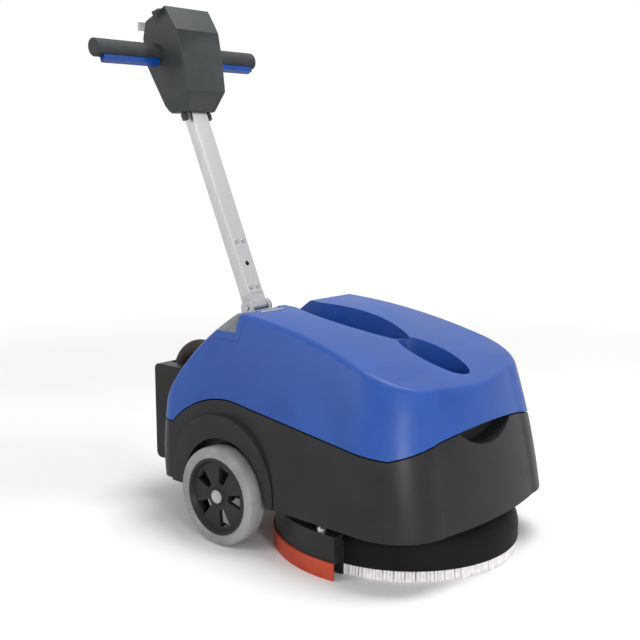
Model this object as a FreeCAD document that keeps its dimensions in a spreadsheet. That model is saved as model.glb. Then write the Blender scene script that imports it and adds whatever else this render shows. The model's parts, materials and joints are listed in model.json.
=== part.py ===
import FreeCAD, Part
import math
import os
from types import SimpleNamespace

import Sketcher

# Walk-behind floor scrubber, in millimetres.
# +X points forward (the way the brush end leads), +Y to the operator's left, +Z up.
# The origin lies on the floor under the middle of the whole machine's box.

V = FreeCAD.Vector
DOC = FreeCAD.newDocument("FloorScrubber")
SHEET = DOC.addObject("Spreadsheet::Sheet", "Sizes")
NODES = []

DRIVING = {
    # overall
    "half_length": 431, "deck_r": 206, "axle_x": -5,
    # body shell
    "body_z": 88, "belt_z": 240, "crown_z": 420, "shell_wall": 5, "tank_wall": 5, "seam": 2.5,
    "base_half": 240, "belt_half": 228, "crown_half": 170, "side_taper": 12,
    "base_front": 425, "belt_front": 398, "crown_front": 366,
    "tail_x": -200, "tail_z": 205, "tail_foot_x": -170,
    "front_corner": 100, "tail_corner": 45, "front_bow": 14, "shoulder_r": 14,
    # top line of the tank and seam line between tank and chassis
    "top_rear_x": -36, "top_rear_z": 409, "top_front_x": 335, "top_front_z": 331,
    "arch_top_z": 257, "arch_r": 193, "seam_slope": 0.122, "tail_seam_z": 196,
    "nose_rise_z": 246, "nose_drop": 36, "scoop_half": 85, "scoop_deep": 33,
    # wheels
    "wheel_r": 90, "wheel_width": 38, "track_half": 257, "hub_r": 70, "cap_r": 12, "axle_r": 10,
    "running": 0.05, "arch_gap": 13, "fender_r": 129, "fender_y": 237,
    # brush deck
    "skirt_z": 20, "skirt_top_z": 46, "deck_wall": 4, "deck_top_z": 104, "bristle_r": 203,
    "bristle_in_r": 118, "bristle_z": 24, "block_z": 40, "shaft_r": 10,
    # squeegee
    "squeegee_r": 236, "squeegee_in_r": 210, "squeegee_z": 28, "squeegee_top_z": 70,
    "squeegee_span": 194, "blade": 3.5, "blade_z": 27, "plate": 4,
    # frame plate inside the chassis
    "frame_t": 4, "battery_length": 181, "battery_width": 166, "battery_z": 77,
    # mast
    "pivot_x": -150, "pivot_z": 390, "mast_lean": 23.7, "tube_width": 41, "tube_depth": 28,
    "tube_wall": 2.5, "tube_start": 26, "tube_end": 500, "cheek": 5, "pin_r": 6, "slot_half": 38,
    # handle head
    "head_half_top": 60, "head_half_foot": 52, "head_half_throat": 34, "head_wall": 3.5, "grip_z": 551, "grip_x": 4,
    "grip_end": 216, "grip_deep": 37, "grip_wide": 31, "trigger_end": 200, "trigger_root": 62,
    # recesses in the tank top
    "channel_half": 38, "channel_bulge": 58, "channel_kink_x": -4, "channel_tip_x": 241,
    "oval_x": 282, "oval_long": 72, "oval_half": 40, "oval_floor_z": 292,
    # opening and cover in the tank top
    "cover_rear_x": -120, "cover_front_x": -10, "cover_in_y": -42, "cover_out_y": -220,
    "cover_foot_z": 360, "cover_gap": 0.8, "cover_rim": 15,
    # float valve under the cover
    "float_x": -44, "float_y": -112, "float_foot_z": 264.4, "float_z": 326,
    # housing behind the body
    "box_rear_x": -289, "box_half": 150, "box_z": 84, "box_top_z": 279, "box_wall": 4,
    # drain hose
    "hose_y": -100, "hose_r": 19, "hose_bend": 61, "hose_drop_z": 250,
}


def word(value):
    return value.text if isinstance(value, Size) else repr(float(value))


class Size:
    """A length from the sheet, or a sum or product of lengths: its number and its expression."""

    def __init__(self, value, text):
        self.value = float(value)
        self.text = text

    def __float__(self):
        return self.value

    def __add__(self, other):
        return Size(self.value + float(other), f"({self.text} + {word(other)})")

    __radd__ = __add__

    def __sub__(self, other):
        return Size(self.value - float(other), f"({self.text} - {word(other)})")

    def __rsub__(self, other):
        return Size(float(other) - self.value, f"({word(other)} - {self.text})")

    def __mul__(self, other):
        return Size(self.value * float(other), f"({self.text} * {word(other)})")

    __rmul__ = __mul__

    def __truediv__(self, other):
        return Size(self.value / float(other), f"({self.text} / {word(other)})")

    def __neg__(self):
        return Size(-self.value, f"(0 - {self.text})")


def fill_sheet():
    for row, (alias, value) in enumerate(DRIVING.items(), start=1):
        SHEET.set(f"A{row}", alias)
        SHEET.set(f"B{row}", str(value))
        SHEET.setAlias(f"B{row}", alias)
    DOC.recompute()
    sizes = {}
    for alias in DRIVING:
        sizes[alias] = Size(getattr(SHEET, alias), f"{SHEET.Name}.{alias}")
    return SimpleNamespace(**sizes)


S = fill_sheet()
S.brush_x = S.half_length - S.deck_r


# ---------------------------------------------------------------- small helpers

def bind(thing, name, value):
    """Gives a property its size, as an expression where the size comes from the sheet."""
    if "." not in name:
        setattr(thing, name, float(value))
    if isinstance(value, Size):
        thing.setExpression(name, value.text)


def point(x, y, z):
    return V(float(x), float(y), float(z))


def place(thing, at, turn=None):
    """Puts a piece at three sizes, turned by (axis, degrees)."""
    rotation = FreeCAD.Rotation(V(*turn[0]), float(turn[1])) if turn else FreeCAD.Rotation()
    thing.Placement = FreeCAD.Placement(point(*at), rotation)
    for letter, value in zip("xyz", at):
        bind(thing, f"Placement.Base.{letter}", value)
    return thing


def node(label, thing):
    """Names a finished sub-part, which is then written to its own file."""
    thing.Label = label
    NODES.append(thing)
    return thing


def lean(thing, along_x=0, along_y=0, along_z=0):
    """Puts a piece drawn in the mast's own frame (Z along the tube) on the leaning mast."""
    angle = math.radians(float(S.mast_lean))
    x, z = float(along_x), float(along_z)
    base = V(float(S.pivot_x) + x * math.cos(angle) - z * math.sin(angle), float(along_y),
             float(S.pivot_z) + x * math.sin(angle) + z * math.cos(angle))
    thing.Placement = FreeCAD.Placement(base, FreeCAD.Rotation(V(0, 1, 0), -float(S.mast_lean)))
    return thing


def box(name, length, width, height, at):
    """A block centred on X and Y at its place, standing on Z."""
    block = DOC.addObject("Part::Box", name)
    bind(block, "Length", length)
    bind(block, "Width", width)
    bind(block, "Height", height)
    x, y, z = at
    return place(block, (x - length / 2, y - width / 2, z))


def rod(name, radius, height, at, turn=None):
    cylinder = DOC.addObject("Part::Cylinder", name)
    bind(cylinder, "Radius", radius)
    bind(cylinder, "Height", height)
    return place(cylinder, at, turn)


def cut(name, base, *tools):
    result = DOC.addObject("Part::Cut", name)
    result.Base = base
    result.Tool = tools[0] if len(tools) == 1 else fuse(name + "_tools", *tools)
    return result


def fuse(name, *things):
    result = DOC.addObject("Part::MultiFuse", name)
    result.Shapes = list(things)
    return result


def group(name, *things):
    result = DOC.addObject("Part::Compound", name)
    result.Links = list(things)
    return result


def feature(name, shape):
    thing = DOC.addObject("Part::Feature", name)
    thing.Shape = shape
    return thing


def outline_sketch(body, role, points):
    """A closed outline of straight lines in an origin plane, each corner held by two sizes."""
    sketch = body.newObject("Sketcher::SketchObject", body.Name + "_outline")
    plane = next(f for f in body.Origin.OriginFeatures if f.Role == role)
    sketch.AttachmentSupport = [(plane, "")]
    sketch.MapMode = "FlatFace"
    ends = [V(float(a), float(b), 0) for a, b in points]
    count = len(ends)
    for i in range(count):
        sketch.addGeometry(Part.LineSegment(ends[i], ends[(i + 1) % count]), False)
    for i in range(count):
        sketch.addConstraint(Sketcher.Constraint("Coincident", i, 2, (i + 1) % count, 1))
    for i, pair in enumerate(points):
        for kind, axis, value in (("DistanceX", -2, pair[0]), ("DistanceY", -1, pair[1])):
            if float(value) == 0:
                sketch.addConstraint(Sketcher.Constraint("PointOnObject", i, 1, axis))
                continue
            held = sketch.addConstraint(Sketcher.Constraint(kind, -1, 1, i, 1, float(value)))
            if isinstance(value, Size):
                sketch.setExpression(f"Constraints[{held}]", value.text)
    return sketch


def turned(name, points, at=(0, 0, 0), turn=None, angle=360):
    """A turned body: an outline of (radius, height) points spun about its own Z axis."""
    body = DOC.addObject("PartDesign::Body", name)
    sketch = outline_sketch(body, "XZ_Plane", points)
    spin = body.newObject("PartDesign::Revolution", name + "_spin")
    spin.Profile = sketch
    spin.ReferenceAxis = (sketch, ["V_Axis"])
    bind(spin, "Angle", angle)
    sketch.Visibility = False
    body.Tip = spin
    return place(body, at, turn)


def plate(name, points, thickness, at=(0, 0, 0), turn=None):
    """A flat body: an outline of (x, y) points padded along its own Z axis."""
    body = DOC.addObject("PartDesign::Body", name)
    sketch = outline_sketch(body, "XY_Plane", points)
    pad = body.newObject("PartDesign::Pad", name + "_pad")
    pad.Profile = sketch
    bind(pad, "Length", thickness)
    body.Tip = pad
    return place(body, at, turn)


def oblong(half_x, half_y, x=0, y=0):
    """The four corners of a rectangle about (x, y)."""
    return [(x - half_x, y - half_y), (x + half_x, y - half_y),
            (x + half_x, y + half_y), (x - half_x, y + half_y)]


def block(x0, x1, y0, y1, z0, z1):
    """A plain box shape between six sizes."""
    x0, x1, y0, y1, z0, z1 = (float(v) for v in (x0, x1, y0, y1, z0, z1))
    return Part.makeBox(x1 - x0, y1 - y0, z1 - z0, V(x0, y0, z0))


FACE_X = ((1, 1, 1), 120)      # the piece's X, Y and Z axes point along +Y, +Z and +X
FLAT_LEFT = ((1, 0, 0), -90)   # the piece's Z axis points along +Y
FLAT_RIGHT = ((1, 0, 0), 90)   # the piece's Z axis points along -Y


# ---------------------------------------------------------------- the body's outer form

def rounded(a, b, c, radius):
    """Start, middle and end of the arc that rounds the corner b between a and c."""
    u = (a - b).normalize()
    w = (c - b).normalize()
    half = u.getAngle(w) / 2
    reach = radius / math.tan(half)
    middle = b + (u + w).normalize() * (radius / math.sin(half) - radius)
    return b + u * reach, middle, b + w * reach


def plan(z, front, half, grow):
    """The body's outline at one height: a bowed front, round corners and a straight tail."""
    taper = float(S.side_taper)
    rear = float(S.tail_x) - grow
    nose = float(front) + grow
    wide = float(half) + grow
    bow = float(S.front_bow)
    tail_left, tail_right = V(rear, wide - taper, z), V(rear, taper - wide, z)
    nose_right, nose_left = V(nose - bow, -wide, z), V(nose - bow, wide, z)
    tail_r = float(S.tail_corner) + grow
    nose_r = float(S.front_corner) + grow
    a = rounded(nose_left, tail_left, tail_right, tail_r)
    b = rounded(tail_left, tail_right, nose_right, tail_r)
    c = rounded(tail_right, nose_right, nose_left, nose_r)
    d = rounded(nose_right, nose_left, tail_left, nose_r)
    edges = [Part.LineSegment(a[2], b[0]), Part.Arc(*b), Part.LineSegment(b[2], c[0]),
             Part.Arc(*c), Part.Arc(c[2], V(nose, 0, z), d[0]), Part.Arc(*d),
             Part.LineSegment(d[2], a[0]), Part.Arc(*a)]
    return Part.Wire([edge.toShape() for edge in edges])


def drafted(grow):
    """The body's sides: three outlines lofted from the chassis's foot to above the tank."""
    levels = [(S.body_z, S.base_front, S.base_half), (S.belt_z, S.belt_front, S.belt_half),
              (S.crown_z, S.crown_front, S.crown_half)]
    wires = [plan(float(z), front, half, grow) for z, front, half in levels]
    return Part.makeLoft(wires, True, False)


def side_prism(face, half=300):
    """A face in the XZ plane, drawn out to both sides."""
    face.translate(V(0, -half, 0))
    return face.extrude(V(0, 2 * half, 0))


def side_outline(grow):
    """The body seen from the side: leaning tail, long falling top line."""
    foot = float(S.body_z) - 8
    rear_x, rear_z = float(S.top_rear_x), float(S.top_rear_z)
    front_x, front_z = float(S.top_front_x), float(S.top_front_z)
    heel = V(float(S.tail_foot_x), 0, foot)
    tail = V(float(S.tail_x), 0, float(S.tail_z))
    top = V(rear_x, 0, rear_z)
    swell = (tail + top) / 2 + V(-17, 0, 12)
    crest = V((rear_x + front_x) / 2, 0, (rear_z + front_z) / 2 + 16)
    nose = V(front_x, 0, front_z)
    ahead = V(front_x + 125, 0, front_z - 43)
    below = V(ahead.x, 0, foot)
    edges = [Part.LineSegment(heel, tail), Part.Arc(tail, swell, top), Part.Arc(top, crest, nose),
             Part.LineSegment(nose, ahead), Part.LineSegment(ahead, below),
             Part.LineSegment(below, heel)]
    wire = Part.Wire([edge.toShape() for edge in edges])
    if grow:
        wire = wire.makeOffset2D(grow, join=2)
    return side_prism(Part.Face(wire))


def body_form(grow):
    return drafted(grow).common(side_outline(grow))


def under_seam(lift):
    """All that lies under the seam: level at the tail, an arc over the wheel, a fall, a rise at the nose."""
    radius = float(S.arch_r)
    slope = float(S.seam_slope)
    centre = V(float(S.axle_x) - 8, 0, float(S.arch_top_z) - radius)
    turn = math.atan(slope)
    tail_z = float(S.tail_seam_z)
    start = centre + V(-math.sqrt(radius ** 2 - (tail_z - centre.z) ** 2), 0, tail_z - centre.z)
    middle = centre + V(-radius / 2, 0, radius * math.sqrt(0.75))
    rear = float(S.tail_x) - 100
    end = centre + V(radius * math.sin(turn), 0, radius * math.cos(turn))
    far = end + V(500, 0, -500 * slope)
    edges = [Part.Arc(start, middle, end), Part.LineSegment(end, far),
             Part.LineSegment(far, V(far.x, 0, 0)), Part.LineSegment(V(far.x, 0, 0), V(rear, 0, 0)),
             Part.LineSegment(V(rear, 0, 0), V(rear, 0, tail_z)),
             Part.LineSegment(V(rear, 0, tail_z), start)]
    side = side_prism(Part.Face(Part.Wire([edge.toShape() for edge in edges])))
    half, rise, drop = float(S.belt_half), float(S.nose_rise_z), float(S.nose_drop)
    left, right = V(0, -half, rise - drop), V(0, half, rise - drop)
    arch = [Part.Arc(left, V(0, 0, rise), right).toShape(),
            Part.LineSegment(right, V(0, half, 0)).toShape(),
            Part.LineSegment(V(0, half, 0), V(0, -half, 0)).toShape(),
            Part.LineSegment(V(0, -half, 0), left).toShape()]
    nose = Part.Face(Part.Wire(arch)).extrude(V(600, 0, 0))
    under = side.fuse(nose)
    under.translate(V(0, 0, lift))
    return under


def shoulder_edges(solid):
    """The edges where the top surface meets the sides and the nose."""
    found = []
    for edge in solid.Edges:
        middle = edge.valueAt((edge.FirstParameter + edge.LastParameter) / 2)
        faces = solid.ancestorsOfType(edge, Part.Face)
        if len(faces) != 2 or middle.z < float(S.top_front_z) - 40:
            continue
        normals = [face.normalAt(*face.Surface.parameter(middle)) for face in faces]
        tops = [n for n in normals if abs(n.y) < 1e-6 and n.z > 0.35]
        if len(tops) == 1:
            found.append(edge)
    return found


def tank_form():
    """The body's form with its shoulder rounded."""
    solid = body_form(0).Solids[0]
    return solid.makeFillet(float(S.shoulder_r), shoulder_edges(solid))


# ---------------------------------------------------------------- chassis

def chassis_inside(wall):
    """The room inside the chassis's walls, at a distance from the body's outer form."""
    heel, tail = float(S.tail_foot_x) + wall, float(S.tail_x) + wall
    corners = [V(heel, 0, 0), V(heel, 0, float(S.body_z)), V(tail, 0, float(S.tail_z)), V(tail, 0, 600),
               V(500, 0, 600), V(500, 0, 0)]
    return drafted(-wall).common(side_prism(Part.Face(Part.makePolygon(corners + corners[:1]))))


def chassis_shell():
    wall = float(S.shell_wall)
    outer = body_form(0).common(under_seam(0))
    inner = chassis_inside(wall)
    shell = outer.cut(inner)
    side = float(S.fender_y)
    arch_r = float(S.wheel_r + S.arch_gap)
    inboard = float(S.track_half - S.wheel_width) - 6
    for sign in (1, -1):
        axle = V(float(S.axle_x), sign * (inboard - wall), float(S.wheel_r))
        out = V(0, sign, 0)
        liner = Part.makeCylinder(arch_r + wall, side - inboard, axle, out)
        liner = liner.common(block(-300, 300, -300, 300, S.body_z, 400)).common(body_form(0))
        fender = Part.makeCylinder(float(S.fender_r), side - inboard - 8, axle + out * (wall + 8), out)
        fender.translate(V(-8, 0, 15))
        keep = Part.makeCylinder(float(S.arch_r) - 14, 600, V(float(S.axle_x) - 8, -300,
                                 float(S.arch_top_z) - float(S.arch_r)), V(0, 1, 0))
        fender = fender.common(block(-300, 300, -300, 300, S.body_z, 400)).common(keep)
        fender = fender.cut(inner)
        shell = shell.fuse([liner, fender])
    for sign in (1, -1):
        well = Part.makeCylinder(arch_r, 80, V(float(S.axle_x), sign * inboard, float(S.wheel_r)),
                                 V(0, sign, 0))
        hole = Part.makeCylinder(float(S.axle_r) + 1, 80, V(float(S.axle_x), sign * (inboard - 20),
                                 float(S.wheel_r)), V(0, sign, 0))
        mouth = block(S.axle_x - arch_r, S.axle_x + arch_r, min(sign * inboard, sign * 300),
                      max(sign * inboard, sign * 300), 0, S.wheel_r)
        shell = shell.cut(well.fuse([hole, mouth]))
    shell = shell.fuse(nose_pocket().common(body_form(0)).common(under_seam(0)))
    shell = shell.cut(nose_scoop())
    return node("chassis_shell", feature("ChassisShell", shell.removeSplitter()))


def nose_pocket():
    """The block that holds the hand hollow under the tank's front edge."""
    front = S.belt_front
    half = S.scoop_half + 10
    return block(front - 38, front + 30, -half, half, S.nose_rise_z - S.scoop_deep - 8, S.nose_rise_z)


def nose_scoop():
    """The hand hollow: a shallow arc, open at the top and the front."""
    half, deep = float(S.scoop_half), float(S.scoop_deep)
    radius = (half ** 2 + deep ** 2) / (2 * deep)
    centre = V(float(S.belt_front) - 32, 0, float(S.nose_rise_z) - deep + radius)
    arc = Part.makeCylinder(radius, 100, centre, V(1, 0, 0))
    return arc.common(block(0, 600, -half, half, 0, 600))


def frame_plate():
    """The steel plate that everything inside the chassis stands on."""
    inside = chassis_inside(float(S.shell_wall) + 0.3)
    top = S.deck_top_z + S.frame_t
    slab = inside.common(block(-300, 500, -300, 300, S.deck_top_z, top))
    liner = float(S.wheel_r + S.arch_gap + S.shell_wall) + 0.5
    inboard = float(S.track_half - S.wheel_width) - 6 - float(S.shell_wall) - 0.3
    for sign in (1, -1):
        slab = slab.cut(Part.makeCylinder(liner, 80, V(float(S.axle_x), sign * inboard,
                                          float(S.wheel_r)), V(0, sign, 0)))
    shaft = Part.makeCylinder(float(S.shaft_r) + 6, 40, V(float(S.brush_x), 0, 90))
    slab = slab.cut(shaft)
    for x, y in deck_bolt_places():
        slab = slab.cut(Part.makeCylinder(4.2, 40, V(x, y, 90)))
    return node("frame_plate", feature("FramePlate", slab))


def rear_housing():
    """The box on the chassis's tail, open at the back under its cover."""
    wall = float(S.box_wall)
    front = float(S.tail_foot_x)
    shell = block(S.box_rear_x, front, -S.box_half, S.box_half, S.box_z, S.box_top_z)
    tall = [edge for edge in shell.Edges if abs(edge.tangentAt(edge.FirstParameter).y) > 0.9
            and edge.CenterOfMass.x < -200]
    shell = shell.makeFillet(12, tall)
    lift_x = S.tail_x - 0.6
    above = float(S.tail_seam_z)
    shell = shell.cut(body_form(0)).cut(block(lift_x, 0, -300, 300, above - 0.6, 600))
    hollow = block(S.box_rear_x - 10, front - wall, wall - S.box_half, S.box_half - wall,
                   S.box_z + wall, S.box_top_z - wall)
    hollow = hollow.cut(body_form(wall)).cut(block(lift_x - wall, 0, -300, 300, above - wall - 0.6, 600))
    shell = shell.cut(hollow)
    drain = block(S.box_rear_x + 6, S.box_rear_x + 80, S.hose_y - 22, S.hose_y + 22,
                  S.box_top_z - 30, S.box_top_z + 30)
    drain = drain.makeFillet(21, upright_edges(drain))
    socket = Part.makeCylinder(17, 20, V(-225, -float(S.box_half) - 5, 150), V(0, 1, 0))
    shell = shell.cut(drain.fuse(socket))
    return node("rear_housing", feature("RearHousing", shell))


def rear_cover():
    """The lid over the open back of the rear housing."""
    half_y = S.box_half - S.box_wall - 0.4
    half_z = (S.box_top_z - S.box_z) / 2 - S.box_wall - 0.4
    middle = (S.box_top_z + S.box_z) / 2
    return node("rear_cover", plate("RearCover", oblong(half_y, half_z), S.box_wall,
                                    (S.box_rear_x + 1, 0, middle), FACE_X))


def charger_socket():
    """The charging inlet in the right side of the rear housing."""
    outline = [(0, 0), (22, 0), (22, 3), (16, 3), (16, 20), (0, 20)]
    body = turned("ChargerSocket", outline, (S.box_rear_x + 64, -S.box_half - 3, 150), FLAT_LEFT)
    return node("charger_socket", body)


def deck_bolt_places():
    reach = 92 * math.sqrt(0.5)
    middle = float(S.brush_x)
    return [(middle + i * reach, j * reach) for i in (1, -1) for j in (1, -1)]


def frame_bolts():
    """The bolts that hold the deck and the mast bracket to the frame plate."""
    bracket = S.deck_top_z + S.frame_t + 5
    bolts = [rod("BracketBolt", 7, 5, (S.pivot_x + 24, sign * 45, bracket)) for sign in (1, -1)]
    low, high = S.deck_top_z - S.deck_wall, S.deck_top_z + S.frame_t
    for x, y in deck_bolt_places():
        shank = rod("DeckBoltShank", 4, high - low, (x, y, low))
        head = rod("DeckBoltHead", 7, 5, (x, y, high))
        nut = rod("DeckBoltNut", 7, 5, (x, y, low - 5))
        bolts.append(fuse("DeckBolt", shank, head, nut))
    return node("frame_bolts", group("FrameBolts", *bolts))


def deck_shell():
    """The dome over the brush."""
    top, low, r, t = S.deck_top_z, S.skirt_z, S.deck_r, S.deck_wall
    outer = [(r, low), (r, S.skirt_top_z), (r - 3, 57), (r - 10, 68), (r - 21, 78), (r - 36, 87),
             (r - 56, 96), (r - 76, top), (12, top)]
    inner = [(12, top - t), (r - 78, top - t), (r - 58, 92), (r - 38, 83), (r - 23.5, 74.6),
             (r - 13.5, 65.5), (r - 7, 55.5), (r - t, S.skirt_top_z), (r - t, low)]
    dome = turned("DeckDome", outer + inner, (S.brush_x, 0, 0))
    holes = [rod("DeckHole", 4.2, 20, (x, y, top - 12)) for x, y in deck_bolt_places()]
    return node("deck_shell", cut("DeckShell", dome, *holes))


def drive_unit():
    """The gearbox over the brush and the motor on it."""
    foot = S.deck_top_z + S.frame_t
    case = box("GearboxCase", 110, 110, 35, (S.brush_x, 0, foot))
    bore = rod("GearboxBore", S.shaft_r + S.running, 26, (S.brush_x, 0, foot - 1))
    node("gearbox_housing", cut("GearboxHousing", case, bore))
    outline = [(0, 0), (50, 0), (50, 58), (44, 66), (14, 66), (14, 72), (0, 72)]
    node("brush_motor", turned("BrushMotor", outline, (S.brush_x, 0, foot + 35)))


def batteries():
    foot = S.deck_top_z + S.frame_t
    cells = []
    for sign in (1, -1):
        x, y = -6.5, (S.battery_width / 2 + 4) * sign
        case = box("BatteryCase", S.battery_length, S.battery_width, S.battery_z, (x, y, foot))
        poles = [rod("BatteryPole", 7, 8, (x - 70, y + shift, foot + S.battery_z)) for shift in (-60, 60)]
        cells.append(fuse("Battery", case, *poles))
    node("batteries", group("Batteries", *cells))


def inner_parts():
    """Vacuum motor, control box and the water parts, all on the frame plate."""
    foot = S.deck_top_z + S.frame_t
    vacuum = [(0, 0), (45, 0), (45, 40), (41, 46), (41, 104), (34, 118), (0, 118)]
    node("vacuum_motor", turned("VacuumMotor", vacuum, (131, 118, foot)))
    case = box("ControlCase", 84, 110, 44, (131, -134, foot))
    lid = box("ControlLid", 88, 114, 4, (131, -134, foot + 44))
    node("control_box", fuse("ControlBox", case, lid))
    coil = box("ValveCoil", 34, 40, 46, (322, -86, foot))
    nose = rod("ValveNose", 9, 12, (322, -66, foot + 23), FLAT_LEFT)
    node("solenoid_valve", fuse("SolenoidValve", coil, nose))
    bowl = [(0, 0), (20, 0), (24, 6), (24, 44), (27, 46), (27, 60), (0, 60)]
    strainer = turned("StrainerBowl", bowl, (322, 96, foot))
    pipe = rod("SolutionPipe", 6, 126, (322, -54, foot + 23), FLAT_LEFT)
    node("solution_filter", group("SolutionFilter", strainer, pipe))


def axles():
    """The stub axles and the blocks that hang them under the frame plate."""
    reach = S.track_half - 6 - 168
    blocks, stubs = [], []
    for sign, turn in ((1, FLAT_LEFT), (-1, FLAT_RIGHT)):
        stubs.append(rod("Axle", S.axle_r, reach, (S.axle_x, sign * 168, S.wheel_r), turn))
        case = box("AxleBlockCase", 46, 40, S.deck_top_z - S.wheel_r + 14,
                   (S.axle_x, sign * 187, S.wheel_r - 14))
        bore = rod("AxleBore", S.axle_r, 60, (S.axle_x, sign * 160, S.wheel_r), turn)
        blocks.append(cut("AxleBlock", case, bore))
    node("axles", group("Axles", *stubs))
    node("axle_blocks", group("AxleBlocks", *blocks))


def wheel(side, sign, turn):
    """One wheel: a plastic hub with five wedge openings, a soft tyre and a small cap."""
    at = (S.axle_x, sign * (S.track_half - S.wheel_width), S.wheel_r)
    bore, rim, width = S.axle_r + S.running, S.hub_r, S.wheel_width
    outline = [(bore, 2), (17, 2), (17, 22), (rim - 8, 22), (rim - 8, 3), (rim, 3), (rim, width - 2),
               (rim - 5, width - 2), (rim - 9, 30), (17, 30), (15, width - 6), (bore, width - 6)]
    hub = turned("WheelHub", outline, at, turn)
    wedge = hub.newObject("Sketcher::SketchObject", "WheelWedge")
    plane = next(f for f in hub.Origin.OriginFeatures if f.Role == "XY_Plane")
    wedge.AttachmentSupport = [(plane, "")]
    wedge.MapMode = "FlatFace"
    corners = [V(25, -6, 0), V(55, -13, 0), V(55, 13, 0), V(25, 6, 0)]
    for i in range(4):
        wedge.addGeometry(Part.LineSegment(corners[i], corners[(i + 1) % 4]), False)
    DOC.recompute()
    pocket = hub.newObject("PartDesign::Pocket", "WheelPocket")
    pocket.Profile = wedge
    pocket.Type = "ThroughAll"
    pocket.Reversed = True
    pattern = hub.newObject("PartDesign::PolarPattern", "WheelPattern")
    pattern.Originals = [pocket]
    pattern.Axis = (wedge, ["N_Axis"])
    pattern.Angle = 360
    pattern.Occurrences = 5
    hub.Tip = pattern
    node(f"wheel_hub_{side}", hub)
    tread = [(rim, 3), (rim + 4, 0), (S.wheel_r - 6, 0), (S.wheel_r - 1.5, 3), (S.wheel_r, 8),
             (S.wheel_r, width - 8), (S.wheel_r - 1.5, width - 3), (S.wheel_r - 6, width),
             (rim + 4, width), (rim, width - 3)]
    node(f"tyre_{side}", turned("Tyre", tread, at, turn))
    cap = [(0, width - 5.5), (S.cap_r, width - 5.5), (S.cap_r, width - 3), (S.cap_r - 4, width), (0, width)]
    node(f"wheel_cap_{side}", turned("WheelCap", cap, at, turn))


def brush():
    at = (S.brush_x, 0, 0)
    block_r = S.bristle_r - 7
    block_outline = [(S.shaft_r, S.bristle_z), (block_r, S.bristle_z), (block_r, S.block_z - 4),
                     (block_r - 5, S.block_z), (S.shaft_r, S.block_z)]
    node("brush_block", turned("BrushBlock", block_outline, at))
    tufts = [(S.bristle_in_r, 0), (S.bristle_r, 0), (block_r, S.bristle_z), (S.bristle_in_r, S.bristle_z)]
    node("bristles", turned("Bristles", tufts, at))
    node("drive_shaft", rod("DriveShaft", S.shaft_r, 98, (S.brush_x, 0, 30)))


def squeegee():
    """The curved water pick-up that hugs the brush deck and swings round it."""
    top, foot, r = S.squeegee_top_z, S.squeegee_z, S.squeegee_r
    start = ((0, 0, 1), 180 - float(S.squeegee_span) / 2)
    at = (S.brush_x, 0, 0)
    ledge = S.deck_r - 10 - (top + 0.3 - 68) * 1.1 + 0.6
    body = [(S.squeegee_in_r, foot), (r, foot), (r, top - 6), (r - 3, top + S.plate), (ledge - 4.4, top + S.plate),
            (ledge, top + 0.3), (S.squeegee_in_r, top)]
    node("squeegee_body", turned("SqueegeeBody", body, at, start, S.squeegee_span))
    rear = [(r, 0), (r + S.blade, 0), (r + S.blade, S.blade_z + 3), (r, S.blade_z + 3)]
    node("squeegee_blade_rear", turned("SqueegeeBladeRear", rear, at, start, S.squeegee_span))
    front = [(S.squeegee_in_r - S.blade, 2), (S.squeegee_in_r, 2), (S.squeegee_in_r, 60),
             (S.squeegee_in_r - S.blade, 60)]
    node("squeegee_blade_front", turned("SqueegeeBladeFront", front, at, start, S.squeegee_span))
    knobs = []
    for turn in (-88, 88):
        angle = math.radians(180 + turn)
        x, y = 222 * math.cos(angle), 222 * math.sin(angle)
        outline = [(0, 0), (9, 0), (9, 6), (6, 10), (0, 10)]
        knobs.append(turned("SqueegeeKnob", outline, (S.brush_x + x, y, top + S.plate)))
    node("squeegee_knobs", group("SqueegeeKnobs", *knobs))
    port = [(0, 0), (24, 0), (24, 3), (17, 3), (17, 12), (0, 12)]
    node("suction_port", turned("SuctionPort", port, (S.brush_x - 220, 0, top + S.plate)))


# ---------------------------------------------------------------- tank

def channel_tool(grow):
    """The fold channel: a boat-shaped hollow that runs out through the tank's tail."""
    half, bulge = float(S.channel_half) + grow, float(S.channel_bulge) + grow
    kink, tip = float(S.channel_kink_x), float(S.channel_tip_x) + grow
    rear = float(S.tail_x) - 60
    swell = V(kink + (tip - kink) * 0.34, bulge, 0)
    left = [V(rear, half, 0), V(kink, half, 0), V(tip, 0, 0)]
    right = [V(p.x, -p.y, 0) for p in left]
    edges = [Part.LineSegment(left[0], left[1]), Part.Arc(left[1], swell, left[2]),
             Part.Arc(right[2], V(swell.x, -swell.y, 0), right[1]),
             Part.LineSegment(right[1], right[0]), Part.LineSegment(right[0], left[0])]
    prism = Part.Face(Part.Wire([edge.toShape() for edge in edges])).extrude(V(0, 0, 600))
    floor = Part.makePolygon([V(rear - 10, 0, 318 - grow), V(kink, 0, 330 - grow), V(tip + 30, 0, 374 - grow),
                              V(tip + 30, 0, 700), V(rear - 10, 0, 700), V(rear - 10, 0, 318 - grow)])
    return prism.common(side_prism(Part.Face(floor)))


def slot_tool(grow):
    """The upright slot in the tank's tail that clears the mast's bracket."""
    half = S.slot_half + grow
    return block(-600, -108 + grow, -half, half, 0, 600)


def oval_tool(grow):
    """The oval hollow in front of the fold channel."""
    oval = Part.Ellipse(V(0, 0, 0), float(S.oval_long) + grow, float(S.oval_half) + grow)
    face = Part.Face(Part.Wire(oval.toShape()))
    face.translate(V(float(S.oval_x), 0, float(S.oval_floor_z) - grow))
    return face.extrude(V(0, 0, 300))


def cover_region(shrink):
    return block(S.cover_rear_x + shrink, S.cover_front_x - shrink, S.cover_out_y, S.cover_in_y - shrink,
                 S.cover_foot_z + shrink, 600)


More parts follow.
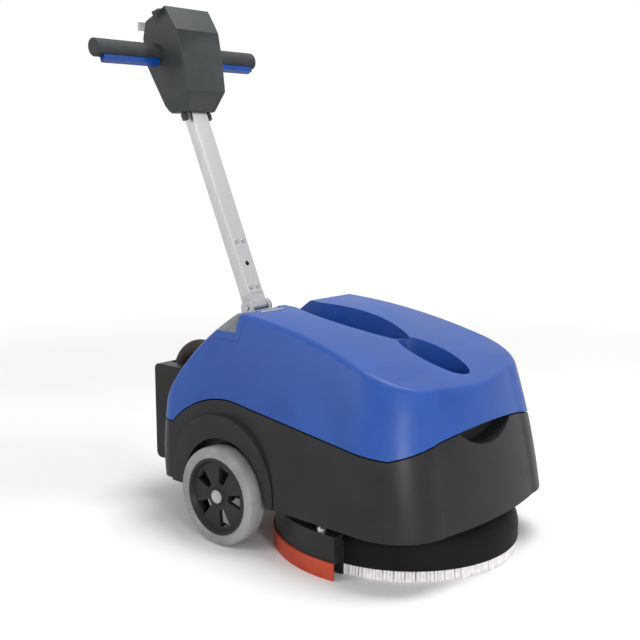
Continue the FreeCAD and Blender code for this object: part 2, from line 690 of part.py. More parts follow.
def hinge_rod(radius, grow=0):
    """The cover's hinge line, on the tank's surface along the cover's front edge."""
    z = cover_hinge_z()
    return Part.makeCylinder(radius, 60 + 2 * grow, V(float(S.cover_front_x), -130 - grow, z), V(0, 1, 0))


def cover_hinge_z():
    rise = side_outline(0).common(block(S.cover_front_x - 1, S.cover_front_x + 1, -1, 1, 200, 600))
    return rise.BoundBox.ZMax + 0.2


def tank():
    """The blue tank, its clear cover and what is inside it."""
    wall = float(S.tank_wall)
    solid = tank_form()
    inset = body_form(-wall)
    hollows = channel_tool(0).fuse([slot_tool(0), oval_tool(0)])
    outer = solid.cut(under_seam(float(S.seam))).cut(hollows)
    cavity = inset.cut(under_seam(float(S.seam) + wall))
    cavity = cavity.cut(channel_tool(wall).fuse([slot_tool(wall), oval_tool(wall)]))
    shell = outer.cut(cavity)
    pin_room = hinge_rod(2.3, 1)
    skin = solid.cut(inset)
    region = cover_region(0)
    shell = shell.cut(skin.common(region)).cut(pin_room)
    node("tank_shell", feature("TankShell", shell))
    rim = float(S.cover_gap) / 2
    window = cover_region(float(S.cover_rim))
    cover = skin.common(cover_region(rim)).cut(pin_room)
    frame = cover.cut(window)
    node("cover_frame", feature("CoverFrame", frame))
    pane = solid.cut(body_form(-wall + 1)).common(window)
    pane = pane.common(body_form(-1))
    node("cover_window", feature("CoverWindow", pane))
    node("cover_hinge_pin", feature("CoverHingePin", hinge_rod(2)))
    under = body_form(-wall - 0.3).cut(body_form(-wall - 3.5))
    hem = under.common(cover_region(-6)).cut(cover_region(8))
    hem = hem.cut(channel_tool(wall + 0.3))
    node("cover_seal", feature("CoverSeal", hem))


def float_valve():
    """The standpipe to the vacuum motor, its cage and the ball that shuts it when the tank is full."""
    x, y = S.float_x, S.float_y
    foot, seat = S.float_foot_z, S.float_z
    pipe = [(15, foot), (18, foot), (18, seat), (15, seat)]
    node("standpipe", turned("Standpipe", pipe, (x, y, 0)))
    outline = [(12, seat), (24, seat), (24, seat + 48), (12, seat + 48), (12, seat + 45), (21, seat + 45),
               (21, seat + 4), (12, seat + 4)]
    cage = turned("CageCase", outline, (x, y, 0))
    slots = [box("CageSlot", 60, 12, 26, (x, y, seat + 11)), box("CageSlot", 12, 60, 26, (x, y, seat + 11))]
    node("float_cage", cut("FloatCage", cage, *slots))
    ball = DOC.addObject("Part::Sphere", "FloatBall")
    bind(ball, "Radius", 16)
    node("float_ball", place(ball, (x, y, seat + 15)))


def drain_hose():
    """The tank's drain hose: out of the tail, over and down into the rear housing."""
    y, r, bend = float(S.hose_y), float(S.hose_r), float(S.hose_bend)
    x1, z0 = float(S.box_rear_x) + 28, float(S.hose_drop_z)
    start = V(float(S.tail_x) + 100, y, z0 + bend)
    corner_in = V(x1 + bend, y, z0 + bend)
    middle = V(x1 + bend - bend * 0.7071, y, z0 + bend * 0.7071)
    corner_out = V(x1, y, z0)
    end = V(x1, y, z0 - 32)
    path = Part.Wire([Part.LineSegment(start, corner_in).toShape(),
                      Part.Arc(corner_in, middle, corner_out).toShape(),
                      Part.LineSegment(corner_out, end).toShape()])
    ring = Part.Wire(Part.makeCircle(r, start, V(1, 0, 0)))
    hose = path.makePipeShell([ring], True, True)
    hose = hose.cut(body_form(0).cut(slot_tool(0)))
    node("drain_hose", feature("DrainHose", hose))
    cap = [(0, 0), (21, 0), (21, 12), (0, 12)]
    node("drain_cap", turned("DrainCap", cap, (x1, y, z0 - 44)))


# ---------------------------------------------------------------- mast

def mast_bracket():
    """Two steel cheeks on a foot, bolted to the frame plate, that hold the mast's pivot."""
    foot = S.deck_top_z + S.frame_t
    x, z = S.pivot_x, S.pivot_z
    outline = [(x - 8, foot), (x + 40, foot), (x + 26, z - 60), (x + 16, z + 2), (x + 8, z + 14),
               (x - 8, z + 14), (x - 16, z + 2), (x - 9, z - 60)]
    inner = S.tube_width / 2 + 0.5
    right = plate("RightCheek", outline, S.cheek, (0, -inner, 0), FLAT_RIGHT)
    left = plate("LeftCheek", outline, S.cheek, (0, inner + S.cheek, 0), FLAT_RIGHT)
    base = box("BracketFoot", 48, 120, 5, (x + 16, 0, foot))
    body = fuse("BracketBody", right, left, base)
    bore = rod("BracketBore", S.pin_r, 80, (x, -40, z), FLAT_LEFT)
    node("mast_bracket", cut("MastBracket", body, bore))
    node("hinge_pin", rod("HingePin", S.pin_r, 62, (x, -28, z), FLAT_LEFT))
    grip = [(S.pin_r + S.running, 0), (9, 0), (9, 1), (14, 1), (14, 7), (12, 8.5), (S.pin_r + S.running, 8.5)]
    node("clamp_knob", turned("ClampKnob", grip, (x, inner + S.cheek + 0.3, z), FLAT_LEFT))


def mast():
    """The hinge block and the aluminium tube, drawn upright and then leaned back."""
    wide, deep, wall = float(S.tube_width), float(S.tube_depth), float(S.tube_wall)
    low, high = float(S.tube_start), float(S.tube_end)
    barrel = Part.makeCylinder(13, wide, V(0, -wide / 2, 0), V(0, 1, 0))
    neck = block(-13, 13, -wide / 2, wide / 2, 0, low)
    plug = block(wall - deep / 2 + 0.1, deep / 2 - wall - 0.1, wall - wide / 2 + 0.1, wide / 2 - wall - 0.1,
                 low, low + 40)
    hinge = barrel.fuse([neck, plug])
    hinge = hinge.cut(Part.makeCylinder(float(S.pin_r + S.running), 80, V(0, -40, 0), V(0, 1, 0)))
    node("hinge_block", lean(feature("HingeBlock", hinge)))
    tube = block(-deep / 2, deep / 2, -wide / 2, wide / 2, low, high)
    tube = tube.makeFillet(3, upright_edges(tube))
    tube = tube.cut(block(wall - deep / 2, deep / 2 - wall, wall - wide / 2, wide / 2 - wall, low - 1, high + 1))
    screws = []
    for z in (low + 12, low + 110):
        for y in (-9, 9):
            hole = Part.makeCylinder(2.6, wall + 1, V(deep / 2 - wall - 0.5, y, z), V(1, 0, 0))
            tube = tube.cut(hole)
            shank = Part.makeCylinder(2.6, wall, V(deep / 2 - wall, y, z), V(1, 0, 0))
            head = Part.makeCylinder(4.5, 2, V(deep / 2, y, z), V(1, 0, 0))
            screws.append(shank.fuse(head))
    tube = tube.cut(Part.makeCylinder(5, 20, V(deep / 2 - 5, 0, low + 62), V(1, 0, 0)))
    node("mast_tube", lean(feature("MastTube", tube)))
    node("mast_screws", lean(feature("MastScrews", Part.makeCompound(screws))))


def upright_edges(solid):
    return [edge for edge in solid.Edges if abs(edge.tangentAt(edge.FirstParameter).z) > 0.99]


# ---------------------------------------------------------------- handle head

def head_form(grow):
    """The head's outer form: a side outline crossed with a front that narrows downwards."""
    side = [(68, 622), (2, 622), (-19, 596), (-36, 549), (-32, 509), (-24, 436), (-20, 429), (19, 416.5),
            (53, 446), (69, 510), (78, 566)]
    top, foot = float(S.head_half_top), float(S.head_half_foot)
    throat = float(S.head_half_throat)
    front = [(-throat, 405), (throat, 405), (foot, 448), (top, 590), (top, 640), (-top, 640), (-top, 590),
             (-foot, 448)]
    profile = Part.makePolygon([V(x, 0, z) for x, z in side + side[:1]])
    face = Part.makePolygon([V(0, y, z) for y, z in front + front[:1]])
    if grow:
        profile = profile.makeOffset2D(grow, join=2)
        face = face.makeOffset2D(grow, join=2)
    across = side_prism(Part.Face(profile), 100)
    facing = Part.Face(face)
    facing.translate(V(-100, 0, 0))
    return across.common(facing.extrude(V(300, 0, 0)))


def grip_form(grow, start, end):
    """A grip's oval bar between two distances from the middle."""
    long, short = float(S.grip_deep) / 2 + grow, float(S.grip_wide) / 2 + grow
    oval = Part.Ellipse(V(0, 0, 0), long, short)
    face = Part.Face(Part.Wire(oval.toShape()))
    turn = FreeCAD.Rotation(V(0, 0, 1), V(1, 0, 0), V(0, 1, 0), "ZXY")
    face.Placement = FreeCAD.Placement(V(float(S.grip_x), start, float(S.grip_z)), turn)
    return face.extrude(V(0, end - start, 0))


def head():
    form = head_form(0)
    outer = form.makeFillet(3, form.Edges)
    shell = outer.cut(head_form(-float(S.head_wall)))
    tube = block(-S.tube_depth / 2 - 0.2, S.tube_depth / 2 + 0.2, -S.tube_width / 2 - 0.2,
                 S.tube_width / 2 + 0.2, 380, 440)
    for sign in (1, -1):
        start, end = sorted((sign * 30, sign * 100))
        shell = shell.cut(grip_form(0, start, end))
        gland = Part.makeCylinder(6, 40, V(2, sign * 32, 400))
        shell = shell.cut(gland)
    shell = shell.cut(tube)
    split = float(S.grip_x) + 8
    front = shell.common(block(split, 200, -100, 100, 300, 700))
    rear = shell.common(block(-200, split, -100, 100, 300, 700))
    screws = []
    for y, z in ((-30, 530), (30, 530), (-26, 470), (26, 470)):
        screws.append(Part.makeCylinder(4, 60, V(-60, y, z), V(1, 0, 0)).common(outer).common(
            block(-60, -22, -60, 60, 400, 600)))
    rear = rear.cut(Part.makeCompound(screws))
    node("head_front_shell", lean(feature("HeadFrontShell", front)))
    node("head_rear_shell", lean(feature("HeadRearShell", rear)))
    node("head_screws", lean(feature("HeadScrews", Part.makeCompound(screws))))


def head_fittings():
    panel = plate("ControlPanel", oblong(28, 54, 35), 1.5)
    node("control_panel", lean(panel, 0, 0, 622))
    rocker = Part.makePolygon([V(-11, 0, 0), V(11, 0, 0), V(11, 0, 3), V(0, 0, 5), V(-11, 0, 7), V(-11, 0, 0)])
    for name, y in (("brush_switch", -44), ("vacuum_switch", 40)):
        shape = side_prism(Part.Face(rocker), 12)
        node(name, lean(feature("Rocker", shape), 35, y, 624.6))
    knob = turned("FlowKnob", [(0, 0), (9, 0), (9, 7), (7.5, 9), (0, 9)])
    node("flow_knob", lean(knob, 35, 10, 623.8))
    glands = []
    for y in (-32, 32):
        glands.append(turned("Gland", [(3, 406), (7, 406), (8, 417), (6, 419), (6, 432), (3, 432)], (2, y, 0)))
    for gland, y in zip(glands, (-32, 32)):
        lean(gland, 2, y, 0)
    node("cable_glands", group("CableGlands", *glands))
    tip = -float(S.half_length)
    hook = block(tip, -380, -52, -32, 945, 950).fuse(block(tip, tip + 5, -52, -32, 950, 962))
    skull = head_form(0)
    skull.Placement = leaning()
    node("cable_hook", feature("CableHook", hook.cut(skull)))


def leaning():
    turn = FreeCAD.Rotation(V(0, 1, 0), -float(S.mast_lean))
    return FreeCAD.Placement(point(S.pivot_x, 0, S.pivot_z), turn)


def grips():
    """Two oval grips through the head's sides, each with a trigger in a groove under it."""
    groove_top = float(S.grip_z) - 5
    x, root, tip = float(S.grip_x), float(S.trigger_root), float(S.trigger_end)
    pins = []
    for side, sign in (("left", 1), ("right", -1)):
        start, end = sorted((sign * 34.0, sign * float(S.grip_end)))
        bar = grip_form(0, start, end)
        ends = [e for e in bar.Edges if abs(abs(e.CenterOfMass.y) - float(S.grip_end)) < 0.1]
        bar = bar.makeFillet(4, ends)
        y0, y1 = sorted((sign * (root - 4), sign * (tip + 3)))
        bar = bar.cut(block(x - 8, x + 8, y0, y1, 400, groove_top))
        pivot = V(x - 12, sign * (root + 4), float(S.grip_z) - 12)
        pin = Part.makeCylinder(2, 24, pivot, V(1, 0, 0))
        bar = bar.cut(pin)
        node(f"grip_{side}", lean(feature("Grip", bar)))
        pins.append(pin)
        y0, y1 = sorted((sign * root, sign * tip))
        lever = block(x - 7, x + 7, y0, y1, float(S.grip_z) - 28, float(S.grip_z) - 16)
        ear0, ear1 = sorted((sign * root, sign * (root + 8)))
        lever = lever.fuse(block(x - 7, x + 7, ear0, ear1, float(S.grip_z) - 17, float(S.grip_z) - 8))
        lever = lever.cut(Part.makeCylinder(2 + float(S.running), 40, V(x - 20, pivot.y, pivot.z), V(1, 0, 0)))
        node(f"trigger_{side}", lean(feature("Trigger", lever)))
    node("trigger_pins", lean(feature("TriggerPins", Part.makeCompound(pins))))


# ---------------------------------------------------------------- build and write

def build():
    chassis_shell()
    frame_plate()
    rear_housing()
    rear_cover()
    charger_socket()
    deck_shell()
    frame_bolts()
    drive_unit()
    batteries()
    inner_parts()
    axles()
    wheel("left", 1, FLAT_LEFT)
    wheel("right", -1, FLAT_RIGHT)
    brush()
    squeegee()
    tank()
    float_valve()
    drain_hose()
    mast_bracket()
    mast()
    head()
    head_fittings()
    grips()


def check():
    """Stops the script if any object failed or any sub-part is empty or broken."""
    for thing in DOC.Objects:
        if "Invalid" in thing.State or "Error" in thing.State:
            raise RuntimeError(f"{thing.Name} ({thing.Label}) failed: {thing.State}")
    for thing in NODES:
        if thing.Shape.isNull() or not thing.Shape.isValid() or not thing.Shape.Solids:
            raise RuntimeError(f"{thing.Label} has no valid shape")


def write():
    os.makedirs("parts", exist_ok=True)
    for thing in NODES:
        thing.Shape.exportStep(f"parts/{thing.Label}.step")
        box_of = thing.Shape.BoundBox
        print(f"{thing.Label:22s} solids {len(thing.Shape.Solids):2d} volume {thing.Shape.Volume:12.0f} "
              f"x {box_of.XMin:7.1f} {box_of.XMax:7.1f} y {box_of.YMin:7.1f} {box_of.YMax:7.1f} "
              f"z {box_of.ZMin:7.1f} {box_of.ZMax:7.1f}")


build()
DOC.recompute()
check()
write()
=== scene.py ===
import json
import math
import random

import bmesh
import bpy
from mathutils import Matrix, Vector


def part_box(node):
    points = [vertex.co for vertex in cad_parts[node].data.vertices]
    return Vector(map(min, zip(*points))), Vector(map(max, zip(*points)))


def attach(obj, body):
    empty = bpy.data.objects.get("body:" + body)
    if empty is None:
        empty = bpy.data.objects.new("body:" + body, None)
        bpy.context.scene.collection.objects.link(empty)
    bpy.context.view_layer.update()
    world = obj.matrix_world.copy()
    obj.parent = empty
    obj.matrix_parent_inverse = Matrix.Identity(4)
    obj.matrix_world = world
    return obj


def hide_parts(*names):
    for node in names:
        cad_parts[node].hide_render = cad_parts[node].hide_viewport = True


# Walk-behind floor scrubber: finishes, tufts, hose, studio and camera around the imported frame.
# Metres throughout, +X forward, +Y to the operator's left, +Z up.

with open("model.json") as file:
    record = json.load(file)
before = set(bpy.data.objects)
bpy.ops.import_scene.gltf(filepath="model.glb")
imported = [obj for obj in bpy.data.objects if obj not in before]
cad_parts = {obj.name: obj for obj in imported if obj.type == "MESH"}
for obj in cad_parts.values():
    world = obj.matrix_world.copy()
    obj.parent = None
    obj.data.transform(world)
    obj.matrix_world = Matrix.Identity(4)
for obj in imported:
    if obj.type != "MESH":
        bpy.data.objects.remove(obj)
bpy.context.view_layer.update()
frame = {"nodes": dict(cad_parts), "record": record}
bodies = frame["record"]["behaviour"]["bodies"]
body_of = {node: body for body, members in bodies.items() for node in members}
rng = random.Random(7)
MM = 0.001


# ---------------------------------------------------------------- materials

def linear(hex_colour):
    """sRGB hex to the linear colour that shaders take."""
    parts = [int(hex_colour[i:i + 2], 16) / 255 for i in (1, 3, 5)]
    return tuple(c / 12.92 if c <= 0.04045 else ((c + 0.055) / 1.055) ** 2.4 for c in parts) + (1.0,)


def add(tree, kind, inputs=None, **settings):
    """A shader node with its settings, and its inputs given as values or as other nodes' outputs."""
    made = tree.nodes.new(kind)
    for name, value in settings.items():
        setattr(made, name, value)
    for name, value in (inputs or {}).items():
        if isinstance(value, bpy.types.NodeSocket):
            tree.links.new(value, made.inputs[name])
        else:
            made.inputs[name].default_value = value
    return made


def fresh(name):
    """A new material with its shader, and the object coordinates that its patterns read."""
    material = bpy.data.materials.new(name)
    material.use_nodes = True
    tree = material.node_tree
    shader = tree.nodes["Principled BSDF"]
    place = add(tree, "ShaderNodeTexCoord").outputs["Object"]
    return material, tree, shader, place


def noise(tree, place, size_mm, detail=3.0, roughness=0.55):
    """A cloudy pattern whose largest features are about size_mm across."""
    return add(tree, "ShaderNodeTexNoise", {"Vector": place, "Scale": 1 / (size_mm * MM), "Detail": detail,
                                            "Roughness": roughness}).outputs["Fac"]


def tint(tree, fac, dark, light, low=0.35, high=0.65):
    """A colour between two, chosen by a pattern."""
    ramp = add(tree, "ShaderNodeValToRGB", {"Fac": fac})
    ramp.color_ramp.elements[0].position = low
    ramp.color_ramp.elements[1].position = high
    ramp.color_ramp.elements[0].color = linear(dark)
    ramp.color_ramp.elements[1].color = linear(light)
    return ramp.outputs["Color"]


def spread(tree, fac, low, high):
    """A value between two, chosen by a pattern."""
    return add(tree, "ShaderNodeMapRange", {"Value": fac, "From Min": 0.3, "From Max": 0.7, "To Min": low,
                                            "To Max": high}).outputs["Result"]


def moulded(name, dark, light, rough, grain_mm, grain_depth_mm, blotch_mm=60, gloss=0.25):
    """Moulded plastic or rubber: cloudy tone, uneven gloss and a fine grain pressed in by the mould."""
    material, tree, shader, place = fresh(name)
    blotch = noise(tree, place, blotch_mm)
    grain = noise(tree, place, grain_mm, 2.0, 0.7)
    tree.links.new(tint(tree, blotch, dark, light), shader.inputs["Base Color"])
    tree.links.new(spread(tree, blotch, rough - 0.05, rough + 0.06), shader.inputs["Roughness"])
    bump = add(tree, "ShaderNodeBump", {"Height": grain, "Strength": 0.6, "Distance": grain_depth_mm * MM})
    tree.links.new(bump.outputs["Normal"], shader.inputs["Normal"])
    shader.inputs["Specular IOR Level"].default_value = gloss
    return material


def metal(name, dark, light, rough, brush_mm, along):
    """Metal drawn or brushed along one axis: long fine scratches and a slight change of tone."""
    material, tree, shader, place = fresh(name)
    scale = [1 / (brush_mm * MM)] * 3
    scale["XYZ".index(along)] = 1 / (60 * MM)
    drawn = add(tree, "ShaderNodeMapping", {"Vector": place, "Scale": scale}).outputs["Vector"]
    lines = add(tree, "ShaderNodeTexNoise", {"Vector": drawn, "Scale": 1.0, "Detail": 2.0}).outputs["Fac"]
    tree.links.new(tint(tree, lines, dark, light), shader.inputs["Base Color"])
    tree.links.new(spread(tree, lines, rough - 0.06, rough + 0.08), shader.inputs["Roughness"])
    bump = add(tree, "ShaderNodeBump", {"Height": lines, "Strength": 0.25, "Distance": 0.02 * MM})
    tree.links.new(bump.outputs["Normal"], shader.inputs["Normal"])
    shader.inputs["Metallic"].default_value = 1.0
    return material


def clear_plastic(name):
    """Smoked polycarbonate, moulded smooth: grey, glossy and half seen through."""
    material, tree, shader, place = fresh(name)
    haze = noise(tree, place, 40)
    tree.links.new(tint(tree, haze, "#9aa3ab", "#b4bcc2"), shader.inputs["Base Color"])
    tree.links.new(spread(tree, haze, 0.08, 0.16), shader.inputs["Roughness"])
    shader.inputs["IOR"].default_value = 1.58
    shader.inputs["Transmission Weight"].default_value = 0.75
    return material


# Rotomoulded polyethylene: saturated blue, soft satin with a faint orange peel from the mould.
BLUE_POLYETHYLENE = moulded("rotomoulded_blue_polyethylene", "#21468f", "#274f9b", 0.4, 1.8, 0.05, 120)
# Black ABS with a fine spark-eroded grain: charcoal with a broad dull sheen.
BLACK_ABS = moulded("grained_black_abs", "#222223", "#282829", 0.4, 1.2, 0.06, 90, gloss=0.16)
# Black polypropylene deck, moulded matt: hardly any sheen. Its base colour is painted shade: darker than the
# other black plastics, standing for the shadow of the chassis above.
MATT_POLYPROPYLENE_WITH_PAINTED_SHADE = moulded("matt_black_polypropylene_painted_shade", "#131314", "#19191a", 0.6, 1.2, 0.06, 90, gloss=0.08)
# Dark grey glass-filled nylon: flat, slightly mottled.
GREY_NYLON = moulded("grained_grey_nylon", "#313435", "#393c3d", 0.46, 1.0, 0.05, 50)
# Textured thermoplastic rubber on the grips.
GRIP_RUBBER = moulded("textured_grip_rubber", "#2e2f31", "#37393a", 0.6, 0.8, 0.08, 40)
# Polished blue acetal triggers.
TRIGGER_ACETAL = moulded("smooth_blue_acetal", "#06357a", "#093f8e", 0.34, 3.0, 0.01, 40, gloss=0.2)
# Grey non-marking tyre rubber: pale, powdery.
TYRE_RUBBER = moulded("grey_non_marking_rubber", "#808081", "#929293", 0.7, 1.5, 0.08, 45)
# Light grey polypropylene caps and hook.
LIGHT_POLYPROPYLENE = moulded("light_grey_polypropylene", "#9c9d9e", "#abacad", 0.45, 1.5, 0.03, 40)
# Red gum rubber squeegee blade.
RED_GUM_RUBBER = moulded("red_gum_rubber", "#a83c24", "#b84a30", 0.5, 1.5, 0.04, 50)
# Black nitrile rubber for the hose and seals.
BLACK_NITRILE = moulded("black_nitrile_rubber", "#241f1d", "#2f2926", 0.55, 1.5, 0.05, 40)
# White nylon brush filament.
WHITE_NYLON = moulded("white_nylon_filament", "#e6e1e2", "#f6f4f3", 0.5, 1.0, 0.03, 9)
# Black powder coat on the steel inside: fine pebble.
POWDER_COAT = moulded("black_powder_coat", "#1f2022", "#292a2c", 0.5, 0.8, 0.05, 50)
# Satin anodised aluminium tube, drawn along its length.
ANODISED_ALUMINIUM = metal("satin_anodised_aluminium", "#b3b4b5", "#c3c4c5", 0.36, 0.6, "Z")
# Zinc plated steel fasteners.
ZINC_STEEL = metal("zinc_plated_steel", "#a2a4a6", "#b8babc", 0.3, 0.5, "X")
# Cast and shot-blasted aluminium: even, dull and slightly pebbled.
CAST_ALUMINIUM = metal("shot_blasted_cast_aluminium", "#a6a8a9", "#b9bbbc", 0.5, 1.2, "Y")
SMOKED_POLYCARBONATE = clear_plastic("smoked_polycarbonate")

FINISH = {
    "blue_tank": BLUE_POLYETHYLENE, "clear_cover": SMOKED_POLYCARBONATE, "black_shell": BLACK_ABS,
    "grey_plastic": GREY_NYLON, "blue_trigger": TRIGGER_ACETAL, "tube_alu": ANODISED_ALUMINIUM,
    "steel": ZINC_STEEL, "painted_steel": POWDER_COAT, "grey_tyre": TYRE_RUBBER,
    "light_plastic": LIGHT_POLYPROPYLENE, "white_bristle": WHITE_NYLON, "brush_back": BLACK_ABS,
    "red_rubber": RED_GUM_RUBBER, "dark_rubber": BLACK_NITRILE, "battery_case": BLACK_ABS,
}
slot_of = {row["node"]: row["material_slot"] for row in frame["record"]["subparts"]}
# The deck's finish is darker than the other black plastics, as painted shade from the chassis above.
OWN_FINISH = {"grip_left": GRIP_RUBBER, "grip_right": GRIP_RUBBER, "mast_bracket": CAST_ALUMINIUM,
              "clamp_knob": LIGHT_POLYPROPYLENE, "hinge_block": CAST_ALUMINIUM,
              "wheel_hub_left": BLACK_ABS, "wheel_hub_right": BLACK_ABS,
              "squeegee_knobs": ZINC_STEEL, "deck_shell": MATT_POLYPROPYLENE_WITH_PAINTED_SHADE}


# ---------------------------------------------------------------- pieces

def dress(piece, material):
    """The piece wears this material and no other."""
    piece.data.materials.clear()
    piece.data.materials.append(material)


def piece_from(name, bm, body, material, smooth_degrees=35):
    """Turns a bmesh into a piece that rides on a body, smooth except across sharp edges."""
    mesh = bpy.data.meshes.new(name)
    for face in bm.faces:
        face.smooth = True
    limit = math.radians(smooth_degrees)
    for edge in bm.edges:
        edge.smooth = len(edge.link_faces) == 2 and edge.calc_face_angle(0) < limit
    bm.to_mesh(mesh)
    bm.free()
    piece = bpy.data.objects.new(name, mesh)
    bpy.context.scene.collection.objects.link(piece)
    dress(piece, material)
    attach(piece, body)
    return piece


def smooth_copy(node):
    """A merged, smooth-shaded copy of a CAD node, shown in its place."""
    bm = bmesh.new()
    bm.from_mesh(frame["nodes"][node].data)
    bmesh.ops.remove_doubles(bm, verts=bm.verts, dist=0.005 * MM)
    slot = slot_of[node]
    material = OWN_FINISH.get(node, FINISH[slot])
    piece = piece_from(node + "_finished", bm, body_of[node], material)
    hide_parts(node)
    return piece


TUFT_ROWS = 10
OUTER_ROW_INSET = 7 * MM
ROW_PITCH = 7.5 * MM
TUFT_PITCH = 6.0 * MM
TUFT_TIP_R = 3.4 * MM
TUFT_ROOT_R = 2.6 * MM
RIM_CLEARANCE = 0.1 * MM


def bristle_tufts():
    """Rows of flared nylon tufts on the brush block, leaning outwards towards the floor."""
    low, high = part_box("bristles")
    centre = Vector(((low[0] + high[0]) / 2, (low[1] + high[1]) / 2, 0))
    reach, height = (high[0] - low[0]) / 2, high[2]
    bm = bmesh.new()
    for row in range(TUFT_ROWS):
        root = reach - OUTER_ROW_INSET - row * ROW_PITCH
        count = int(math.tau * root / TUFT_PITCH)
        for i in range(count):
            angle = math.tau * (i + (row % 2) / 2 + rng.uniform(-0.1, 0.1)) / count
            out = Vector((math.cos(angle), math.sin(angle), 0))
            splay = rng.uniform(1.0, 4.0) * MM
            made = bmesh.ops.create_cone(bm, segments=6, radius1=TUFT_TIP_R, radius2=TUFT_ROOT_R,
                                         depth=height, cap_ends=True)["verts"]
            turn = Matrix.Rotation(rng.uniform(0, 1), 3, "Z")
            bmesh.ops.rotate(bm, verts=made, cent=(0, 0, 0), matrix=turn)
            bmesh.ops.translate(bm, verts=made, vec=centre + out * root + Vector((0, 0, height / 2)))
            feet = [v for v in made if v.co.z < height / 2]
            room = reach - root - TUFT_TIP_R - RIM_CLEARANCE
            bmesh.ops.translate(bm, verts=feet, vec=out * min(splay, room))
    piece = piece_from("brush_tufts", bm, "brush", WHITE_NYLON, 50)
    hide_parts("bristles")


HOSE_DROP_Z = 250 * MM
HOSE_STEP = 1.6 * MM
STEPS_IN_A_RIB = 4
VALLEY = 0.90


def hose_route(low, high, radius):
    """Closely spaced points back along the level run, round the bend and down."""
    y = (low[1] + high[1]) / 2
    bend = high[2] - radius - HOSE_DROP_Z
    turn = Vector((low[0] + radius + bend, y, high[2] - radius - bend))
    route = [Vector((high[0] - 1 * MM, y, turn.z + bend))]
    while route[-1].x - HOSE_STEP > turn.x:
        route.append(route[-1] - Vector((HOSE_STEP, 0, 0)))
    steps = int(bend * math.pi / 2 / HOSE_STEP)
    for i in range(steps + 1):
        angle = math.pi / 2 * (1 + i / steps)
        route.append(turn + Vector((math.cos(angle) * bend, 0, math.sin(angle) * bend)))
    while route[-1].z - HOSE_STEP > low[2]:
        route.append(route[-1] - Vector((0, 0, HOSE_STEP)))
    return route


def ribbed_hose():
    """The drain hose: a ribbed tube swept back out of the tank's tail and down."""
    low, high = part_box("drain_hose")
    radius = (high[1] - low[1]) / 2
    route = hose_route(low, high, radius)
    bm = bmesh.new()
    ring = bmesh.ops.create_circle(bm, segments=32, radius=radius, cap_ends=True)["verts"]
    edges = list(bm.edges)
    for i, spot in enumerate(route):
        ahead = (route[min(i + 1, len(route) - 1)] - route[max(i - 1, 0)]).normalized()
        pinch = 1.0 if i % STEPS_IN_A_RIB < STEPS_IN_A_RIB / 2 else VALLEY
        facing = ahead.to_track_quat("Z", "Y").to_matrix().to_4x4()
        turned = Matrix.Translation(spot) @ facing @ Matrix.Scale(pinch, 4)
        if i:
            made = bmesh.ops.extrude_edge_only(bm, edges=edges)["geom"]
            ring = [g for g in made if isinstance(g, bmesh.types.BMVert)]
            edges = [g for g in made if isinstance(g, bmesh.types.BMEdge)]
            bmesh.ops.transform(bm, matrix=turned @ last.inverted(), verts=ring)
        else:
            bmesh.ops.transform(bm, matrix=turned, verts=ring)
        last = turned
    bmesh.ops.holes_fill(bm, edges=bm.edges, sides=40)
    bmesh.ops.recalc_face_normals(bm, faces=bm.faces)
    piece = piece_from("ribbed_drain_hose", bm, body_of["drain_hose"], BLACK_NITRILE, 60)
    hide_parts("drain_hose")


def build_pieces():
    made_by_hand = {"bristles", "drain_hose"}
    for node in sorted(frame["nodes"]):
        if node not in made_by_hand:
            smooth_copy(node)
    bristle_tufts()
    ribbed_hose()


# ---------------------------------------------------------------- studio

def plain_view(tree):
    """One for what the eye, a reflection or clear plastic shows, nought for the light on things."""
    rays = add(tree, "ShaderNodeLightPath").outputs
    seen = add(tree, "ShaderNodeMath", {0: rays["Is Camera Ray"], 1: rays["Is Glossy Ray"]},
               operation="MAXIMUM")
    return add(tree, "ShaderNodeMath", {0: seen.outputs[0], 1: rays["Is Transmission Ray"]},
               operation="MAXIMUM").outputs[0]


SHADOW_REACH = 0.9
WHITE_FROM = 2.6


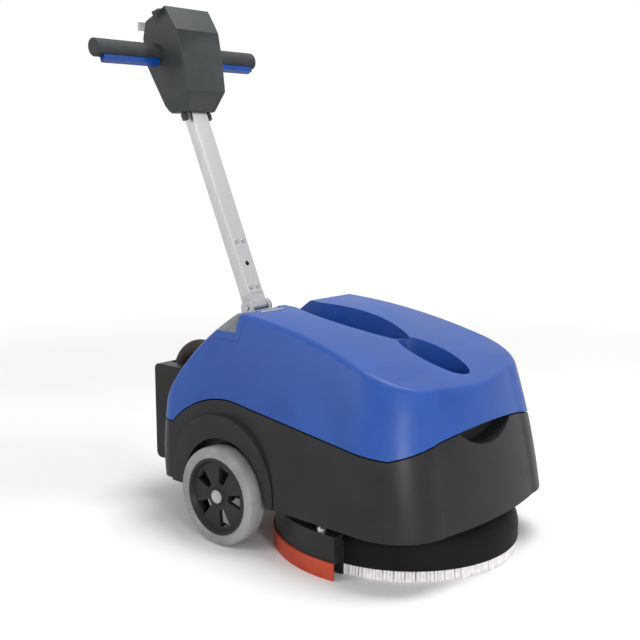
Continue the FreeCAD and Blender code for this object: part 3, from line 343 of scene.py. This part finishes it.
def backdrop():
    """A large pale floor that reads as white to the camera and keeps the machine's shadow."""
    bm = bmesh.new()
    bmesh.ops.create_grid(bm, x_segments=1, y_segments=1, size=12)
    mesh = bpy.data.meshes.new("floor")
    bm.to_mesh(mesh)
    bm.free()
    floor = bpy.data.objects.new("floor", mesh)
    bpy.context.scene.collection.objects.link(floor)
    material, tree, shader, place = fresh("matt_white_studio_floor")
    cloud = noise(tree, place, 900)
    tree.links.new(tint(tree, cloud, "#f2f2f2", "#f7f7f7"), shader.inputs["Base Color"])
    shader.inputs["Roughness"].default_value = 0.9
    shader.inputs["Specular IOR Level"].default_value = 0.1
    # Beyond the shadow the floor fades into the white around it.
    far = add(tree, "ShaderNodeVectorMath", {0: place}, operation="LENGTH").outputs["Value"]
    fade = add(tree, "ShaderNodeMapRange", {"Value": far, "From Min": SHADOW_REACH, "From Max": WHITE_FROM,
                                            "To Min": 0.0, "To Max": 1.0},
               interpolation_type="SMOOTHSTEP").outputs["Result"]
    share = add(tree, "ShaderNodeMath", {0: plain_view(tree), 1: fade}, operation="MULTIPLY").outputs[0]
    white = add(tree, "ShaderNodeEmission", {"Color": (1, 1, 1, 1), "Strength": 1.0}).outputs["Emission"]
    mixed = add(tree, "ShaderNodeMixShader",
                {0: share, 1: shader.outputs["BSDF"], 2: white}).outputs["Shader"]
    tree.links.new(mixed, tree.nodes["Material Output"].inputs["Surface"])
    dress(floor, material)


def lamp(name, place, size, power, aim=(0, 0, 0.3)):
    """A round softbox that looks at the machine."""
    light = bpy.data.lights.new(name, "AREA")
    light.shape = "DISK"
    light.size = size
    light.energy = power
    lamp_object = bpy.data.objects.new(name, light)
    bpy.context.scene.collection.objects.link(lamp_object)
    lamp_object.location = place
    lamp_object.rotation_euler = (Vector(aim) - Vector(place)).to_track_quat("-Z", "Y").to_euler()


def studio():
    backdrop()
    world = bpy.data.worlds.new("studio")
    world.use_nodes = True
    bpy.context.scene.world = world
    tree = world.node_tree
    sky = tree.nodes["Background"]
    sky.inputs["Color"].default_value = (1, 1, 1, 1)
    sky.inputs["Strength"].default_value = 0.5
    seen = add(tree, "ShaderNodeBackground", {"Color": (1, 1, 1, 1), "Strength": 1.0}).outputs["Background"]
    mixed = add(tree, "ShaderNodeMixShader",
                {0: plain_view(tree), 1: sky.outputs["Background"], 2: seen}).outputs["Shader"]
    tree.links.new(mixed, tree.nodes["World Output"].inputs["Surface"])
    lamp("top_softbox", (0.65, 0.7, 3.4), 1.8, 82)
    lamp("corner_softbox", (2.1, -1.15, 0.6), 0.5, 20)
    lamp("side_softbox", (-1.4, -2.6, 1.6), 1.6, 22)
    bpy.context.scene.view_settings.view_transform = "Standard"


def camera():
    """Standing off the front right corner, looking slightly down."""
    lens = bpy.data.cameras.new("camera")
    lens.sensor_width = 36
    lens.lens = 56.28
    view = bpy.data.objects.new("camera", lens)
    bpy.context.scene.collection.objects.link(view)
    view.location = (1.252, -1.4281, 0.6988)
    turn, down = math.radians(40.75), math.radians(9.57)
    ahead = Vector((-math.sin(turn) * math.cos(down), math.cos(turn) * math.cos(down), -math.sin(down)))
    view.rotation_euler = ahead.to_track_quat("-Z", "Y").to_euler()
    bpy.context.scene.camera = view


build_pieces()
studio()
camera()
